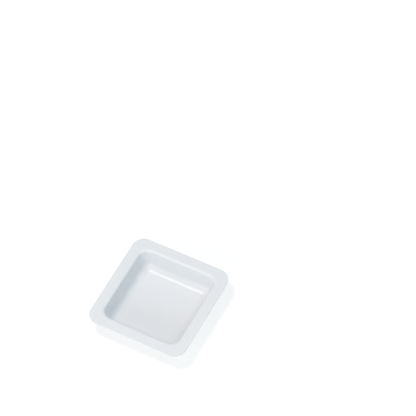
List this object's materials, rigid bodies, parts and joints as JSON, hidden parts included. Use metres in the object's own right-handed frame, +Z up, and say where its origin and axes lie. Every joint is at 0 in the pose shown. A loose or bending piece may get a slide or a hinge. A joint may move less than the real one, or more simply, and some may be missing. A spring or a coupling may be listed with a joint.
{
  "type": "weighing boat",
  "caption": "Small square weighing boat: a shallow thin-walled dish with leaning walls, rounded corners and a flat rim, for weighing out powders.",
  "frame": {"origin": "middle of the underside of the floor, on the surface that the boat stands on", "axes": "+Z up out of the mouth, X and Y along the sides of the square"},
  "size_m": [0.041, 0.041, 0.008],
  "materials": {
    "white_polystyrene": "satin"
  },
  "bodies": {
    "root": {"weighing_boat": "white_polystyrene"}
  },
  "joints": []
}
